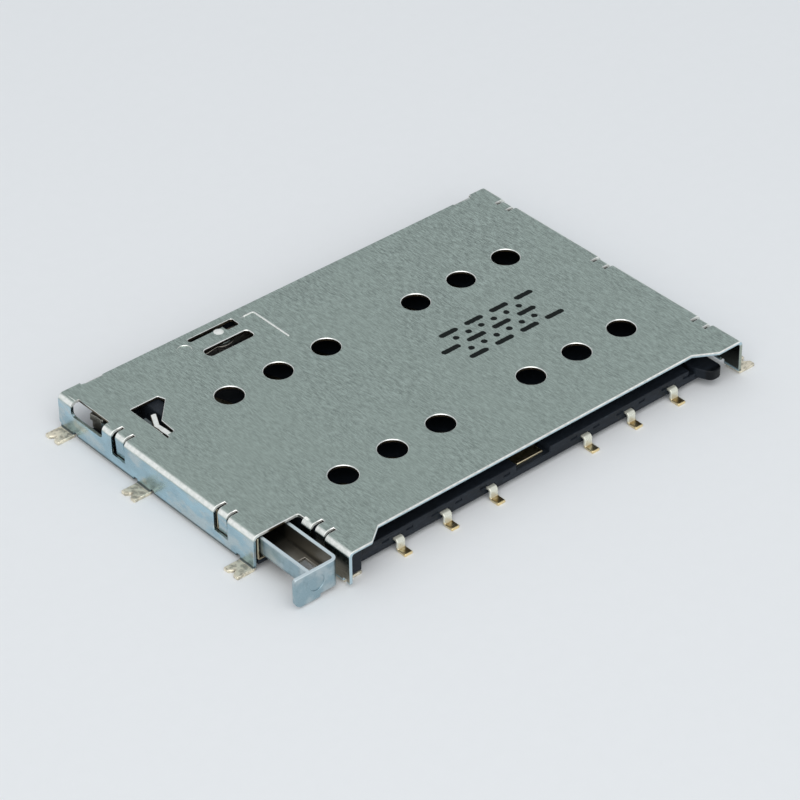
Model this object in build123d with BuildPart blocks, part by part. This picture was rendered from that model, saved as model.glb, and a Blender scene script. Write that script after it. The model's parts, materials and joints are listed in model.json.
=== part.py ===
import os
from build123d import *

# Sizes in millimetres. The origin is the middle of the footprint on the board. +X runs along the long
# side, +Y away from the tray mouth, and +Z up from the board.

# Shell: one sheet, folded down at the sides
shell_length = 23.3
shell_width = 15.7
shell_height = 1.7
sheet = 0.15
fold_radius = 0.2            # to the middle of the sheet
wall_lift = 0.16             # lower edges of the walls above the board
slot_height = 0.67           # room for the tray under the plate

# Rear edge, cut back between short folds
rear_step = 0.13
rear_fold_left = 1.25        # from the left side to the first fold
rear_fold_right = 1.15       # from the right side to the second
rear_fold_width = 0.9
rear_fold_bottom = 0.9
rear_relief = 0.12

# Mouth of the tray, cut back between two slanted corners
mouth_setback = 0.6
mouth_land_left = 1.15       # plate left at full width beside the rod
mouth_land_right = 1.35
mouth_slant_left = 0.8
mouth_slant_right = 1.0

# Latches: tongues cut across a fold and set inwards
latch_width = 0.86
latch_slit = 0.16
latch_reach = 0.6            # how far the slits run into the plate
latch_sill = 0.62            # lower end of the latch's opening
latch_inset = 0.08
latch_lean = 0.06            # the tongue's end lies this much further in
latch_drop = 1.04            # length of the tongue below the plate's top
rear_latches = (3.95, 1.68)  # left and right, from the rear edge
middle_latch = 0.13          # on the right, from the middle of the side
front_latches = (5.23, 2.02)  # left and right, from the front edge
guide_latch = 1.9            # from the front edge

# Solder feet, forked at the end
foot_width = 0.86
foot_reach = 0.8             # beyond the outside of the wall
fork_width = 0.34
fork_depth = 0.26
relief_width = 0.2
relief_height = 0.3
rear_foot = 0.53             # from the rear edge
middle_foot = 5.58
front_feet = (3.65, 0.43)    # left and right, from the front edge
guide_foot = 0.83

# Window in the left wall at the lever's corner
window_place = 0.88
window_length = 2.07
window_sill = 1.07
window_reach = 0.42          # how far it runs into the plate
window_corner = 0.18

# Push rod: an open channel with a folded end plate
rod_width = 1.48
rod_height = 0.9
rod_sheet = 0.15
rod_bend = 0.3               # outside of the bend into the end plate
rod_below_plate = 0.06
rod_setback = 0.3            # of the end plate behind the shell's front corner
rod_stroke = 1.4
nose_gap = 0.075             # from the nose to the lever's arm, at rest
rod_room = 0.1               # around the rod where it runs into the housing
rear_corner_gap = 1.5        # the housing's rear left corner is open, this far along X
rear_corner_depth = 1.4      # and along Y, from the rear edge
nose_length = 1.02
nose_width = 0.55
end_plate_reach = 0.7        # of the end plate past the rod's left wall
end_plate_drop = 0.5         # of the end plate below the rod's floor
end_plate_step = 0.14
end_plate_step_width = 0.93
end_plate_corner = 0.38
emboss_radius = 0.37
emboss_depth = 0.03
rod_hole_length = 1.1
rod_hole_width = 0.75
rod_hole_place = 0.35        # from the end plate

# Rod guide: thin channel round the rod, with play on both sides
guide_sheet = 0.08
guide_play = 0.06
guide_length = 8.9
guide_lip = 0.45             # height of its right side above the rod's floor
guide_wall_gap = 0.27        # from the rod to the shell's wall beside it

# Corner of the plate that is open for the rod
notch_depth = 3.2            # from the front corner to the notch's rear edge
guide_wall_relief = 0.34     # the wall beside the rod starts this far in front of that edge
notch_corner_radius = 0.12

# Moulded housing
housing_bottom = 0.25
floor_sheet = 0.3
housing_play = 0.08          # between the housing and the shell's walls
front_rail_set = 0.1         # of the front rail behind the plate's edge
front_rail_depth = 0.75
rear_rail_set = 0.3
rear_rail_depth = 2.1
rear_lip_sheet = 0.1         # the lip behind the lever's space
rear_lip_left = 2.9          # where it starts, from the shell's left side
rear_lip_bottom = 0.62
lever_space = 0.53           # between the rear rail and the plate
rail_play = 0.02             # under the plate
divider_play = 0.1
divider_sheet = 0.65
divider_front = 0.35         # its front end behind the shell's front corner
right_rail_sheet = 0.82
corner_gap_length = 1.65     # the front right corner is open this far back
arm_width = 0.65
arm_gap = 0.9                # from the arm to the right wall
arm_drop = 0.03              # of the arm's top below the front rail's
arm_rise = 0.15              # of the arm's underside above the housing's
arm_reach = 0.68             # in front of the front rail
arm_corner = 0.3
pocket_width = 0.34          # small marks of the mould's pins in the front rail
pocket_height = 0.12
pocket_depth = 0.05
pocket_place = 0.62          # on both sides of a contact

# Notch and spring in the middle of the mouth
mouth_notch_width = 1.8
mouth_notch_place = 0.39     # its middle, left of the middle between the cards
mouth_notch_depth = 0.3
tray_spring_play = 0.2
leaf_run = 0.98              # from the rail to its highest point
tray_spring_rise = 0.24      # of its top above the front rail's

# Contacts, two rows of three for each card
contact_pitch = 2.54
left_card = 4.66             # middle column of the left card, from the bay's left side
right_card = 4.63            # and of the right card, from its right side
row_offset = 3.22            # from the front rail's face to the front row
row_spacing = 7.08
hole_radius = 0.62
strip = 0.12                 # thickness of the contact metal
contact_width = 0.5
contact_bend = 0.12
arm_bend = 0.2
tail_pitch = 2.42
tail_offset = -0.12          # of the front tails' middle one from its column
tail_width = 0.4
tail_reach = 0.5             # of the foot on the board
tail_gap = 0.1               # from the rail's face to the tail
root_width = 0.7
root_length = 0.5
root_rise = 0.25             # middle of the root above the housing's underside
root_clearance = 0.02
arm_lead = 0.15              # the arm stays level this far out of the rail
contact_rise = 0.22          # of the contact point above the front rail
tip_length = 0.5
tip_drop = 0.25
spring_space = 0.75          # the floor is open this far beyond the contact point

# Ejector lever and its pin
lever_arm = 6.93             # from the pivot to the middle of the rod's nose, along X
lever_overrun = 0.17         # of the arm past that point
pivot_set = 0.95             # from the rear edge
lever_sheet = 0.3
lever_play = 0.08            # above the rear rail
lever_drop = 1.03            # the arm's end lies this far in front of the pivot
lever_width = 0.75
lever_flap_drop = 0.35       # the arm's end is folded down this far
lever_flap_sheet = 0.2
lever_flap_width = 0.6
lever_push_arm = 5.7
lever_push_reach = 1.15
lever_push_width = 0.8
lever_push_corner = 0.1
hub_radius = 0.62
pin_radius = 0.4
pin_play = 0.04
pin_head_radius = 0.55
pin_head_play = 0.02
pin_depth = 0.38             # in the rear rail

# Plate over the pivot: two slots with a beam between them, low domes, and a bead beside them
slot_left = 1.35
slot_right = 1.02
rear_slot = (0.2, 0.44)      # low and high side, measured from the pivot
front_slot = (-1.15, -0.59)
slot_corners = (0.11, 0.2)   # of the rear slot and of the front one
slot_step = (0.36, -0.1)     # the rear slot is wider past this corner, from the pivot
dome_radius = 0.25           # over the pin
dome_height = 0.07
ring_radius = 0.3            # shallow round mark at the left of the slots
ring_depth = 0.04
ring_place = (-1.82, -0.04)  # from the pivot
bead_place = 1.99            # to the right of the pivot
bead_length = 2.35
bead_foot = 0.51
bead_width = 0.08
bead_height = 0.03

# Triangular opening with a sprung finger, measured from the rear left corner
opening_left = 1.53
opening_rear = 2.83
opening_width = 1.5
opening_length = 2.3
opening_chamfer = (0.12, 0.35)
opening_bend = (0.5, 1.4)    # where its slanted side ends, from the left and the rear
opening_stem = 0.44          # width of its front end
opening_corner = 0.06
finger_thickness = 0.1
finger_width = 0.26
finger_dip = 0.04
finger_place = 0.19          # its middle, from the opening's left side
finger_straight = 0.8        # from its root to its bend in plan
finger_end = (0.36, 0.72)    # from the bend to its tip, along X and Y
finger_slit = (0.09, 0.35)   # relief beside its root, width and length

# Detect switch at the back of the bay
switch_height = 0.42
switch_sheet = 0.12
switch_length = 3.6
switch_place = 1.3           # from the bay's right side
switch_set = 0.35            # of the leaf behind the rear rail's front
switch_bump = 0.55           # how far the leaf bows towards the tray
switch_root = 1.0            # length of the leaf's root along Y
switch_crest = (2.16, 2.88)  # the leaf turns out and back at these places from its root
switch_strip_end = 1.44      # the fixed strip ends this far from the leaf's root
switch_strip_set = (0.8, 1.0, 1.5)   # its corners behind the leaf

# Sizes that follow from these
half_length = shell_length / 2
half_width = shell_width / 2
inner_wall = half_length - sheet
plate_under = shell_height - sheet
plate_mid = shell_height - sheet / 2
wall_mid = half_length - sheet / 2
fold_reach = fold_radius + sheet / 2 + 0.05

rod_left = -inner_wall + guide_sheet + 2 * guide_play
rod_right = rod_left + rod_width
rod_top = plate_under - rod_below_plate
rod_floor = rod_top - rod_height
rod_front = -half_width + rod_setback
guide_wall_x = rod_right + guide_wall_gap
notch_y = -half_width + notch_depth
guide_wall_start = notch_y - guide_wall_relief
guide_under = rod_floor - guide_play - guide_sheet

floor_top = housing_bottom + floor_sheet
front_rail_top = plate_under - slot_height
front_rail_y = -half_width + mouth_setback + front_rail_set
front_rail_inner = front_rail_y + front_rail_depth
rear_rail_top = plate_under - lever_space
rear_rail_y = half_width - rear_rail_set
rear_rail_inner = rear_rail_y - rear_rail_depth
housing_left = -inner_wall + housing_play
housing_right = inner_wall - housing_play
divider_left = guide_wall_x + sheet + divider_play
bay_left = divider_left + divider_sheet
bay_right = housing_right - right_rail_sheet
mouth_left = guide_wall_x + mouth_land_left + mouth_slant_left
mouth_right = half_length - mouth_land_right - mouth_slant_right

card_columns = [bay_left + left_card, bay_right - right_card]
columns = [middle + n * contact_pitch for middle in card_columns for n in (-1, 0, 1)]
tails = [middle + tail_offset + n * tail_pitch for middle in card_columns for n in (-1, 0, 1)]
row_front_y = front_rail_y + row_offset
row_rear_y = row_front_y + row_spacing
root_height = housing_bottom + root_rise
contact_height = front_rail_top + contact_rise

pivot_x = rod_left + nose_width / 2 + lever_arm
pivot_y = half_width - pivot_set
lever_bottom = rear_rail_top + lever_play
lever_top = lever_bottom + lever_sheet
rod_nose_end = pivot_y - lever_drop - lever_width / 2 - nose_gap
rod_length = rod_nose_end - nose_length - rod_front
left_latches = (half_width - rear_latches[0], front_latches[0] - half_width)
right_latches = (half_width - rear_latches[1], middle_latch, front_latches[1] - half_width)
guide_latch_y = guide_latch - half_width
left_feet = (half_width - rear_foot, half_width - middle_foot, front_feet[0] - half_width)
right_feet = (half_width - rear_foot, half_width - middle_foot, front_feet[1] - half_width)


def strip_section(plane, points, radius, thickness):
    """A bent strip's section: a line with rounded corners, given a thickness."""
    with BuildSketch(plane) as section:
        with BuildLine():
            FilletPolyline(*points, radius=radius)
        trace(line_width=thickness)
    return section.sketch


def block(low, high, mode=Mode.ADD):
    """Add or cut a plain block given by two opposite corners."""
    middle = tuple((a + b) / 2 for a, b in zip(low, high))
    with Locations(middle):
        Box(*[abs(b - a) for a, b in zip(low, high)], mode=mode)


def latch(y, face, inward):
    """Cut a latch across a fold: the tongue leaves the plate, folds early and leans inwards."""
    width = latch_width / 2
    block(
        (face - inward * sheet, y - width, latch_sill),
        (face + inward * latch_reach, y + width, shell_height + sheet),
        Mode.SUBTRACT,
    )
    top = latch_inset + sheet / 2
    points = [
        (face + inward * (latch_reach + sheet), plate_mid),
        (face + inward * top, plate_mid),
        (face + inward * (top + latch_lean), shell_height - latch_drop),
    ]
    tongue = strip_section(Plane.XZ.offset(-y), points, fold_radius, sheet)
    extrude(tongue, amount=width - latch_slit, both=True)


def foot(y, face, outward):
    """Bend a solder foot out of a wall's lower edge, with a fork at its end and a notch on each side."""
    half_foot = foot_width / 2
    for reach, height in ((half_foot + relief_width, relief_height / 2), (half_foot, relief_height)):
        block(
            (face + outward * sheet, y - reach, -sheet),
            (face - outward * 2 * sheet, y + reach, wall_lift + height),
            Mode.SUBTRACT,
        )
    end = face + outward * foot_reach
    middle = face - outward * sheet / 2
    points = [(middle, wall_lift + relief_height), (middle, sheet / 2), (end, sheet / 2)]
    blank = strip_section(Plane.XZ.offset(-y), points, sheet * 0.9, sheet)
    extrude(blank, amount=half_foot, both=True)
    with BuildSketch() as fork:
        with BuildLine():
            Polyline(
                (end, y - fork_width / 2),
                (end - outward * fork_depth, y),
                (end, y + fork_width / 2),
                close=True,
            )
        make_face()
    extrude(fork.sketch, amount=sheet, mode=Mode.SUBTRACT)


def dome(x, y, radius, height):
    """Raise a low round dome on the plate."""
    rise = shell_height + height
    with BuildSketch(Plane.XZ.offset(-y)) as half:
        with BuildLine():
            RadiusArc((x, rise), (x + radius, shell_height), (radius**2 + height**2) / (2 * height))
            Polyline((x + radius, shell_height), (x + radius, plate_mid), (x, plate_mid), (x, rise))
        make_face()
    revolve(half.sketch, axis=Axis((x, y, 0), (0, 0, 1)))


walls = [
    (-half_length, 1, left_latches, left_feet),
    (half_length, -1, right_latches, right_feet),
]

with BuildPart() as shell:
    # Plate and both side walls
    points = [(-wall_mid, wall_lift), (-wall_mid, plate_mid), (wall_mid, plate_mid), (wall_mid, wall_lift)]
    extrude(strip_section(Plane.XZ.offset(half_width), points, fold_radius, sheet), amount=-shell_width)

    # Open corner for the rod, and the mouth's cut-back edge
    notch_side = guide_wall_x + sheet
    wall_side = guide_wall_x + fold_reach
    with BuildSketch(Plane.XY.offset(shell_height)) as corner:
        with BuildLine():
            Polyline(
                (-shell_length, -shell_width),
                (wall_side, -shell_width),
                (wall_side, guide_wall_start),
                (notch_side, guide_wall_start),
                (notch_side, notch_y),
                (-shell_length, notch_y),
                close=True,
            )
        make_face()
        fillet(corner.vertices().sort_by_distance((notch_side, notch_y))[0], notch_corner_radius)
        with BuildLine():
            Polyline(
                (mouth_left - mouth_slant_left, -half_width),
                (mouth_left, -half_width + mouth_setback),
                (mouth_right, -half_width + mouth_setback),
                (mouth_right + mouth_slant_right, -half_width),
                close=True,
            )
        make_face()
    extrude(amount=-shell_height, mode=Mode.SUBTRACT)

    # Wall beside the rod, folded down from the plate
    guide_wall_mid = guide_wall_x + sheet / 2
    section = strip_section(
        Plane.XZ.offset(half_width),
        [(guide_wall_mid, wall_lift), (guide_wall_mid, plate_mid), (wall_side, plate_mid)],
        fold_radius,
        sheet,
    )
    extrude(section, amount=-(guide_wall_start + half_width))

    # Rear edge: cut back, with two short folds that stand proud of it
    fold_starts = [
        -half_length + rear_fold_left,
        half_length - rear_fold_right - rear_fold_width,
    ]
    block(
        (fold_starts[0] - rear_relief, half_width - rear_step, wall_lift),
        (fold_starts[1] + rear_fold_width + rear_relief, half_width + sheet, shell_height),
        Mode.SUBTRACT,
    )
    for start in fold_starts:
        block(
            (start, half_width - fold_reach, plate_under),
            (start + rear_fold_width, half_width, shell_height),
            Mode.SUBTRACT,
        )
        points = [
            (half_width - sheet / 2, rear_fold_bottom),
            (half_width - sheet / 2, plate_mid),
            (half_width - fold_reach, plate_mid),
        ]
        section = strip_section(Plane.YZ.offset(start), points, fold_radius, sheet)
        extrude(section, amount=rear_fold_width)

    # Window at the lever's corner
    window_middle = half_width - window_place - window_length / 2
    window_height = shell_height + sheet - window_sill
    with BuildSketch(Plane.YZ.offset(-half_length - sheet)):
        with Locations((window_middle, window_sill + window_height / 2)):
            RectangleRounded(window_length, window_height, window_corner)
    extrude(amount=sheet + window_reach, mode=Mode.SUBTRACT)

    # Latches and feet
    for face, inward, latches, feet in walls:
        for y in latches:
            latch(y, face, inward)
        for y in feet:
            foot(y, face, -inward)
    latch(guide_latch_y, guide_wall_x, 1)
    foot(guide_foot - half_width, guide_wall_x + sheet, 1)

    # Round openings over the contacts
    with Locations(*[(x, y, shell_height) for x in columns for y in (row_front_y, row_rear_y)]):
        Hole(hole_radius, depth=sheet)

    # Two slots at the pivot and the triangular opening
    left = -half_length + opening_left
    rear = half_width - opening_rear
    stem_end = rear - opening_length
    step_x = pivot_x + (slot_step[0] + slot_right) / 2
    step_y = pivot_y + (slot_step[1] + rear_slot[1]) / 2
    with BuildSketch(Plane.XY.offset(shell_height)):
        for (low, high), round_corner in zip((rear_slot, front_slot), slot_corners):
            with Locations((pivot_x + (slot_right - slot_left) / 2, pivot_y + (low + high) / 2)):
                RectangleRounded(slot_left + slot_right, high - low, round_corner)
        with Locations((step_x, step_y)):
            RectangleRounded(slot_right - slot_step[0], rear_slot[1] - slot_step[1], slot_corners[0])
        with BuildLine():
            FilletPolyline(
                (left, rear),
                (left + opening_width - opening_chamfer[0], rear),
                (left + opening_width, rear - opening_chamfer[1]),
                (left + opening_bend[0], rear - opening_bend[1]),
                (left + opening_stem, stem_end),
                (left, stem_end),
                close=True,
                radius=opening_corner,
            )
        make_face()
    extrude(amount=-sheet, mode=Mode.SUBTRACT)

    # Sprung finger: it runs along the narrow end, turns to the right and dips a little
    finger_x = left + finger_place
    slit_x = finger_x - (finger_width + finger_slit[0]) / 2
    with BuildSketch(Plane.XY.offset(shell_height)):
        with Locations((slit_x, stem_end)):
            Rectangle(*finger_slit)
    extrude(amount=-sheet, mode=Mode.SUBTRACT)
    with BuildPart(mode=Mode.PRIVATE) as finger:
        finger_points = [
            (stem_end - finger_width, plate_mid),
            (stem_end + finger_straight / 2, plate_mid),
            (stem_end + finger_straight, plate_mid - finger_dip),
            (stem_end + finger_straight + finger_end[1], plate_mid - finger_dip / 2),
        ]
        profile = strip_section(Plane.YZ.offset(left), finger_points, finger_width, finger_thickness)
        extrude(profile, amount=opening_width, both=True)
        with BuildSketch() as outline:
            with BuildLine():
                Polyline(
                    (finger_x, stem_end - finger_width),
                    (finger_x, stem_end + finger_straight),
                    (finger_x + finger_end[0], stem_end + finger_straight + finger_end[1]),
                )
            trace(line_width=finger_width)
        extrude(amount=shell_height, mode=Mode.INTERSECT)
    add(finger.part)

    # Low dome over the pin, a shallow round mark, and the raised bead beside the slots
    dome(pivot_x, pivot_y, dome_radius, dome_height)
    with Locations((pivot_x + ring_place[0], pivot_y + ring_place[1], shell_height)):
        Hole(ring_radius, depth=ring_depth)
    bead_x = pivot_x + bead_place
    bead_points = [
        (bead_x - bead_foot, pivot_y + rear_slot[0]),
        (bead_x, pivot_y + rear_slot[0]),
        (bead_x, pivot_y + rear_slot[0] - bead_length),
    ]
    bead = strip_section(Plane.XY.offset(shell_height), bead_points, bead_width, bead_width)
    extrude(bead, amount=bead_height)
shell.part.label = "shell"

with BuildPart() as housing:
    # Floor, thinner under the rod, and the rails on it
    block((divider_left, front_rail_y, housing_bottom), (housing_right, rear_rail_y, floor_top))
    block((housing_left, notch_y, housing_bottom), (bay_left, rear_rail_y, guide_under))
    block((bay_left, front_rail_y, floor_top), (bay_right, front_rail_inner, front_rail_top))
    block((housing_left, rear_rail_inner, housing_bottom), (housing_right, rear_rail_y, rear_rail_top))
    divider_start = -half_width + divider_front
    block((divider_left, divider_start, housing_bottom), (bay_left, rear_rail_inner, plate_under - rail_play))
    block((bay_right, front_rail_y, housing_bottom), (housing_right, rear_rail_y, plate_under - rail_play))
    block(
        (-half_length + rear_lip_left, rear_rail_y, rear_lip_bottom),
        (housing_right, rear_rail_y + rear_lip_sheet, plate_under - rail_play),
    )

    # Open front corner, and the rounded arm beside it
    arm_right = inner_wall - arm_gap
    arm_left = arm_right - arm_width
    gap_y = -half_width + corner_gap_length
    block((arm_right, -half_width, 0), (half_length, gap_y, shell_height), Mode.SUBTRACT)
    block((mouth_right, -half_width, floor_top), (arm_right, gap_y, shell_height), Mode.SUBTRACT)
    with BuildSketch(Plane.XY.offset(housing_bottom + arm_rise)):
        with BuildLine():
            FilletPolyline(
                (arm_left - arm_width / 2, front_rail_inner),
                (arm_left - arm_width / 2, front_rail_y),
                (arm_left, front_rail_y - arm_reach),
                (arm_right, front_rail_y - arm_reach),
                (arm_right, front_rail_inner),
                close=True,
                radius=arm_corner,
            )
        make_face()
    extrude(amount=front_rail_top - arm_drop - housing_bottom - arm_rise)

    # Notch in the middle of the mouth for the tray spring
    notch_floor = front_rail_top - mouth_notch_depth
    notch_left = sum(card_columns) / 2 - mouth_notch_place - mouth_notch_width / 2
    block(
        (notch_left, front_rail_y, notch_floor),
        (notch_left + mouth_notch_width, front_rail_inner, front_rail_top),
        Mode.SUBTRACT,
    )

    # For each contact a window in the floor, a pocket for its root and two small marks in the rail
    half_root = root_width / 2 + root_clearance
    root_low = root_height - strip / 2 - root_clearance
    root_high = root_height + strip / 2 + root_clearance
    front_window = (front_rail_inner, row_front_y + spring_space)
    rear_window = (row_rear_y - spring_space, rear_rail_inner)
    half_tail = tail_width / 2 + root_clearance
    root_reach = root_length + root_clearance
    for x, tail_x in zip(columns, tails):
        for low, high in (front_window, rear_window):
            block((x - half_root, low, 0), (x + half_root, high, floor_top), Mode.SUBTRACT)
        for tail, inner, side in ((tail_x, front_rail_inner, -1), (x, rear_rail_inner, 1)):
            root_end = inner + side * root_reach
            tail_end = inner + side * half_width
            block((x - half_root, inner, root_low), (x + half_root, root_end, root_high), Mode.SUBTRACT)
            block((tail - half_tail, inner, root_low), (tail + half_tail, tail_end, root_high), Mode.SUBTRACT)
        for side in (-pocket_place, pocket_place):
            block(
                (x + side - pocket_width / 2, front_rail_y, root_high),
                (x + side + pocket_width / 2, front_rail_y + pocket_depth, root_high + pocket_height),
                Mode.SUBTRACT,
            )

    # Room for the rod's channel and nose at the end of their stroke
    block(
        (-half_length, rear_rail_inner, guide_under),
        (rod_right + rod_room, rod_nose_end + rod_stroke + rod_room, rear_rail_top),
        Mode.SUBTRACT,
    )
    # Open corner at the rear left
    block(
        (-half_length, half_width - rear_corner_depth, 0),
        (housing_left + rear_corner_gap, half_width, shell_height),
        Mode.SUBTRACT,
    )
    # Hole for the lever's pin
    with Locations((pivot_x, pivot_y, rear_rail_top)):
        Hole(pin_radius + root_clearance, depth=pin_depth)
    # Pockets for the shell's latches
    for y in right_latches:
        block(
            (inner_wall - latch_inset - latch_lean - sheet, y - latch_width / 2, latch_sill),
            (half_length, y + latch_width / 2, shell_height),
            Mode.SUBTRACT,
        )
    block(
        (guide_wall_x, guide_latch_y - latch_width / 2, latch_sill),
        (divider_left + latch_inset + latch_lean + sheet, guide_latch_y + latch_width / 2, shell_height),
        Mode.SUBTRACT,
    )
housing.part.label = "housing"


def contact(x, tail_x, row_y, face_y, inner_y):
    """One contact: a tail on the board, a root in the rail and a sprung arm that rises to its row."""
    side = 1 if face_y > 0 else -1
    drop_y = face_y + side * (tail_gap + strip / 2)
    root_start = inner_y + side * root_length
    tail_points = [
        (drop_y + side * tail_reach, strip / 2),
        (drop_y, strip / 2),
        (drop_y, root_height),
        (inner_y, root_height),
    ]
    arm_points = [
        (root_start, root_height),
        (inner_y - side * arm_lead, root_height),
        (row_y, contact_height),
        (row_y - side * tip_length, contact_height - tip_drop),
    ]
    tail = strip_section(Plane.YZ.offset(tail_x), tail_points, contact_bend, strip)
    arm = strip_section(Plane.YZ.offset(x), arm_points, arm_bend, strip)
    with BuildPart() as piece:
        extrude(tail, amount=tail_width / 2, both=True)
        extrude(arm, amount=contact_width / 2, both=True)
        block(
            (x - root_width / 2, inner_y, root_height - strip / 2),
            (x + root_width / 2, root_start, root_height + strip / 2),
        )
    return piece.part


contacts = {}
for index, (x, tail_x) in enumerate(zip(columns, tails), start=1):
    contacts[f"contact_front_{index}"] = contact(x, tail_x, row_front_y, front_rail_y, front_rail_inner)
    contacts[f"contact_rear_{index}"] = contact(x, x, row_rear_y, rear_rail_y, rear_rail_inner)

with BuildPart() as push_rod:
    # Channel: floor and two walls
    channel_mid_left = rod_left + rod_sheet / 2
    channel_mid_right = rod_right - rod_sheet / 2
    channel_floor = rod_floor + rod_sheet / 2
    points = [
        (channel_mid_left, rod_top),
        (channel_mid_left, channel_floor),
        (channel_mid_right, channel_floor),
        (channel_mid_right, rod_top),
    ]
    extrude(strip_section(Plane.XZ.offset(-rod_front), points, rod_sheet, rod_sheet), amount=-rod_length)

    # Hole in the floor near the end plate
    hole_x = (rod_left + rod_right) / 2
    hole_y = rod_front + rod_sheet + rod_hole_place
    block(
        (hole_x - rod_hole_width / 2, hole_y, rod_floor),
        (hole_x + rod_hole_width / 2, hole_y + rod_hole_length, rod_floor + rod_sheet),
        Mode.SUBTRACT,
    )

    # End plate, wider and deeper than the channel, with a shallow round emboss
    plate_left = rod_left - end_plate_reach
    plate_bottom = rod_floor - end_plate_drop
    plate_step = rod_right - end_plate_step_width
    with BuildSketch(Plane.XZ.offset(-rod_front)) as end_plate:
        with BuildLine():
            Polyline(
                (plate_left, plate_bottom),
                (plate_step, plate_bottom),
                (plate_step, plate_bottom + end_plate_step),
                (rod_right, plate_bottom + end_plate_step),
                (rod_right, rod_top),
                (plate_left, rod_top),
                close=True,
            )
        make_face()
        fillet(end_plate.vertices().sort_by_distance((plate_left, plate_bottom))[0], end_plate_corner)
        fillet(end_plate.vertices().sort_by_distance((plate_left, rod_top))[0], end_plate_corner / 3)
    extrude(amount=-rod_sheet)
    with BuildSketch(Plane.XZ.offset(-rod_front)):
        with Locations(((plate_left + rod_right) / 2, (rod_top + plate_bottom + end_plate_step) / 2)):
            Circle(emboss_radius)
    extrude(amount=-emboss_depth, mode=Mode.SUBTRACT)

    # Bend between the right wall and the end plate, round on both sides
    bend_x = rod_right - rod_bend
    bend_y = rod_front + rod_bend
    inner_bend = rod_bend - rod_sheet
    for radius, low, mode in ((rod_bend, plate_bottom, Mode.SUBTRACT), (inner_bend, rod_floor, Mode.ADD)):
        with BuildSketch(Plane.XY.offset(low)):
            with Locations((bend_x + radius / 2, bend_y - radius / 2)):
                Rectangle(radius, radius)
            with Locations((bend_x, bend_y)):
                Circle(radius, mode=Mode.SUBTRACT)
        extrude(amount=rod_top - low, mode=mode)

    # Nose that pushes the lever, turned up at its end
    nose_right = rod_left + nose_width
    block(
        (rod_left, rod_nose_end - nose_length - rod_sheet, rod_floor),
        (nose_right, rod_nose_end, rod_floor + rod_sheet),
    )
    block((rod_left, rod_nose_end - rod_sheet, rod_floor), (nose_right, rod_nose_end, lever_top))
push_rod.part.label = "push_rod"

with BuildPart() as rod_guide:
    guide_left = rod_left - guide_play - guide_sheet / 2
    guide_right = rod_right + guide_play + guide_sheet / 2
    guide_floor = guide_under + guide_sheet / 2
    points = [
        (guide_left, rod_top),
        (guide_left, guide_floor),
        (guide_right, guide_floor),
        (guide_right, rod_floor + guide_lip),
    ]
    extrude(strip_section(Plane.XZ.offset(-notch_y), points, guide_sheet, guide_sheet), amount=-guide_length)
    for y in left_latches:
        block(
            (-half_length, y - latch_width / 2, latch_sill),
            (rod_left, y + latch_width / 2, shell_height),
            Mode.SUBTRACT,
        )
rod_guide.part.label = "rod_guide"

with BuildPart() as eject_lever:
    push_x = pivot_x + lever_push_arm
    with BuildSketch(Plane.XY.offset(lever_bottom)):
        with BuildLine():
            Polyline(
                (pivot_x - lever_arm - lever_overrun, pivot_y - lever_drop),
                (pivot_x, pivot_y),
                (push_x + lever_push_width / 2, pivot_y - lever_push_reach + lever_width),
            )
        trace(line_width=lever_width)
        with Locations((push_x, pivot_y - lever_push_reach + lever_width / 2)):
            RectangleRounded(lever_push_width, lever_width, lever_push_corner)
        with Locations((pivot_x, pivot_y)):
            Circle(hub_radius)
            Circle(pin_radius + pin_play, mode=Mode.SUBTRACT)
    extrude(amount=lever_sheet)
    flap_x = pivot_x - lever_arm - lever_overrun
    flap_y = pivot_y - lever_drop
    block(
        (flap_x, flap_y - lever_flap_width / 2, lever_bottom - lever_flap_drop),
        (flap_x + lever_flap_sheet, flap_y + lever_flap_width / 2, lever_top),
    )
eject_lever.part.label = "eject_lever"

with BuildPart() as lever_pin:
    head_bottom = lever_top + pin_head_play
    head_top = plate_under - lever_play / 2
    for bottom, radius in ((rear_rail_top - pin_depth, pin_radius), (head_bottom, pin_head_radius)):
        with BuildSketch(Plane.XY.offset(bottom)):
            with Locations((pivot_x, pivot_y)):
                Circle(radius)
        extrude(amount=head_top - bottom)
lever_pin.part.label = "lever_pin"

# Tray spring: a leaf that lies in the notch of the front rail and rises behind it
with BuildPart() as tray_spring:
    leaf_mid = notch_floor + strip / 2
    leaf_points = [
        (front_rail_y + tray_spring_play, leaf_mid),
        (front_rail_inner, leaf_mid),
        (front_rail_inner + leaf_run, front_rail_top + tray_spring_rise),
        (front_rail_inner + leaf_run + tip_length, front_rail_top),
    ]
    leaf_start = notch_left + tray_spring_play
    leaf = strip_section(Plane.YZ.offset(leaf_start), leaf_points, arm_bend, strip)
    extrude(leaf, amount=mouth_notch_width - 2 * tray_spring_play)
tray_spring.part.label = "tray_spring"

# Detect switch: a leaf that the tray pushes against a fixed strip
switch_right = bay_right - switch_place
switch_left = switch_right - switch_length
switch_y = rear_rail_inner + switch_set
leaf_points = [
    (switch_right, switch_y + switch_root),
    (switch_right, switch_y + switch_root / 4),
    (switch_right - switch_crest[0], switch_y),
    (switch_right - switch_crest[1], switch_y - switch_bump),
    (switch_left, switch_y),
]
strip_middle = switch_right - switch_strip_end
near, far, end = switch_strip_set
strip_points = [
    (strip_middle, switch_y + end),
    (strip_middle, switch_y + far),
    (switch_left, switch_y + near),
]
with BuildPart() as detect_spring:
    leaf = strip_section(Plane.XY.offset(rear_rail_top), leaf_points, arm_bend, switch_sheet)
    extrude(leaf, amount=switch_height)
detect_spring.part.label = "detect_spring"

with BuildPart() as detect_contact:
    fixed = strip_section(Plane.XY.offset(rear_rail_top), strip_points, arm_bend, switch_sheet)
    extrude(fixed, amount=switch_height)
detect_contact.part.label = "detect_contact"

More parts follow.
